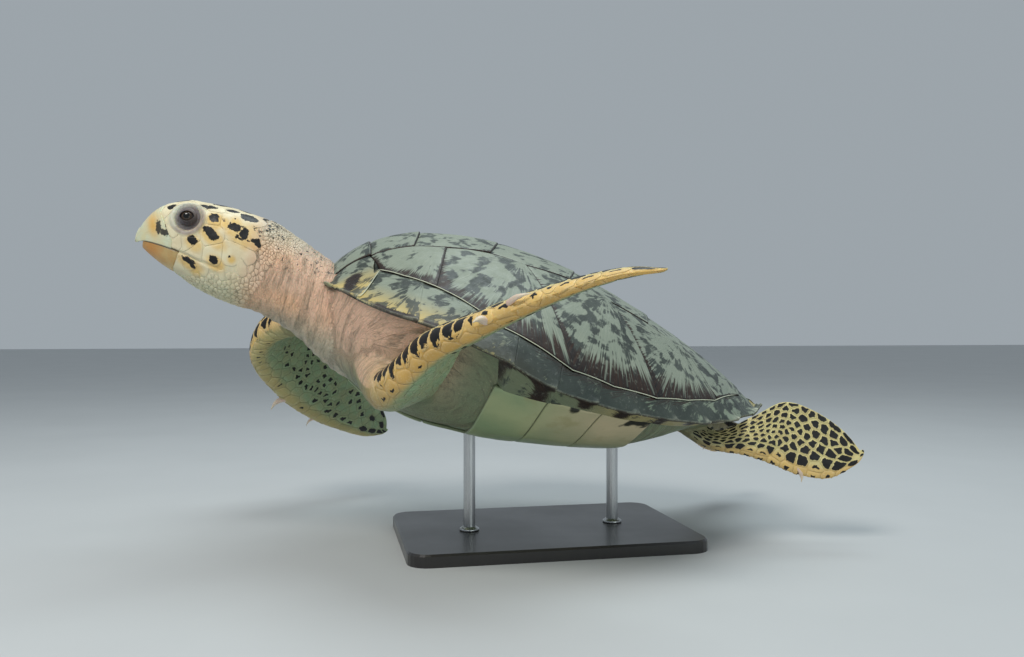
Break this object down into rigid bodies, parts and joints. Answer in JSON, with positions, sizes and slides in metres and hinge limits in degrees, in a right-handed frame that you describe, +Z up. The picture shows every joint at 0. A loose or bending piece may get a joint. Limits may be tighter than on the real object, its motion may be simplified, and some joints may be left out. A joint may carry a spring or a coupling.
{
  "type": "hawksbill sea turtle display model",
  "caption": "Life-size hawksbill sea turtle in mid-swim, nose up and banked, with scuted shell, hooked bill and swept flippers, on a flat base with upright rods.",
  "frame": {"origin": "centre of the stand base's underside, on the floor", "axes": "+Z up, +Y from head to tail, +X to the turtle's left side"},
  "size_m": [0.8896, 1.0391, 0.5039],
  "materials": {
    "scutes": "satin, streaked",
    "plastron": "satin, pale yellow",
    "skin": "matte, scaled and wrinkled",
    "bill_horn": "satin horn",
    "jaw_horn": "satin horn",
    "eye": "wet gloss",
    "claw": "satin horn",
    "stand_base": "satin black",
    "stand_rod": "brushed"
  },
  "bodies": {
    "root": {"scute_nuchal": "scutes", "scute_vertebral_1": "scutes", "scute_vertebral_2": "scutes", "scute_vertebral_3": "scutes", "scute_vertebral_4": "scutes", "scute_vertebral_5": "scutes", "scute_costal_left_1": "scutes", "scute_costal_left_2": "scutes", "scute_costal_left_3": "scutes", "scute_costal_left_4": "scutes", "scute_costal_right_1": "scutes", "scute_costal_right_2": "scutes", "scute_costal_right_3": "scutes", "scute_costal_right_4": "scutes", "marginal_rim_left": "scutes", "marginal_rim_right": "scutes", "plastron": "plastron", "trunk": "skin", "neck": "skin", "head": "skin", "tail": "skin", "front_flipper_left": "skin", "front_flipper_right": "skin", "rear_flipper_left": "skin", "rear_flipper_right": "skin", "bill_upper": "bill_horn", "bill_lower": "jaw_horn", "eye_left": "eye", "eye_right": "eye", "claw_front_left_1": "claw", "claw_front_left_2": "claw", "claw_front_right_1": "claw", "claw_front_right_2": "claw", "claw_rear_left": "claw", "claw_rear_right": "claw", "stand_base": "stand_base", "stand_rod_front": "stand_rod", "stand_rod_rear": "stand_rod"}
  },
  "joints": []
}
